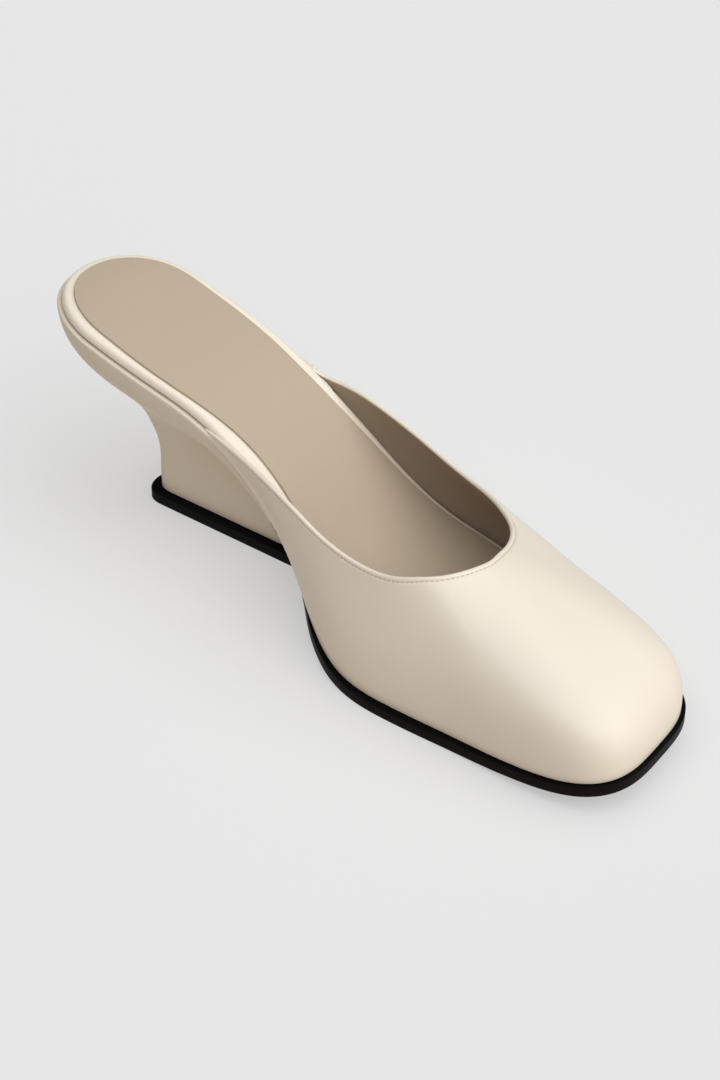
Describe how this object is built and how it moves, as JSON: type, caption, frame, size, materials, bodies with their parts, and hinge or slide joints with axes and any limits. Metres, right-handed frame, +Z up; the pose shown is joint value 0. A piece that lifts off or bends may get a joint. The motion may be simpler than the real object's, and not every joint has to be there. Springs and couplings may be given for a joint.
{
  "type": "closed toe mule",
  "caption": "Backless leather mule with a closed square toe, a low V-winged vamp and a slim sculpted wedge heel; slips on over the forefoot.",
  "frame": {"origin": "middle of the bounding box in plan, on the floor", "axes": "+X from the heel to the toe, +Y to the outer side of the left foot, +Z up"},
  "size_m": [0.2434, 0.0844, 0.0701],
  "materials": {
    "cream_leather": "smooth satin leather, cream",
    "cream_insole_edge": "smooth satin leather wrapped over the board, cream",
    "taupe_sock": "matte lining leather, taupe",
    "cream_heel_cover": "smooth satin leather over the heel block, cream",
    "black_top_piece": "matte black rubber",
    "black_sole": "black leather sole, satin edge"
  },
  "bodies": {
    "root": {"upper": "cream_leather", "insole": "cream_insole_edge", "sock_lining": "taupe_sock", "heel": "cream_heel_cover", "heel_top_piece": "black_top_piece", "outsole": "black_sole"}
  },
  "joints": []
}
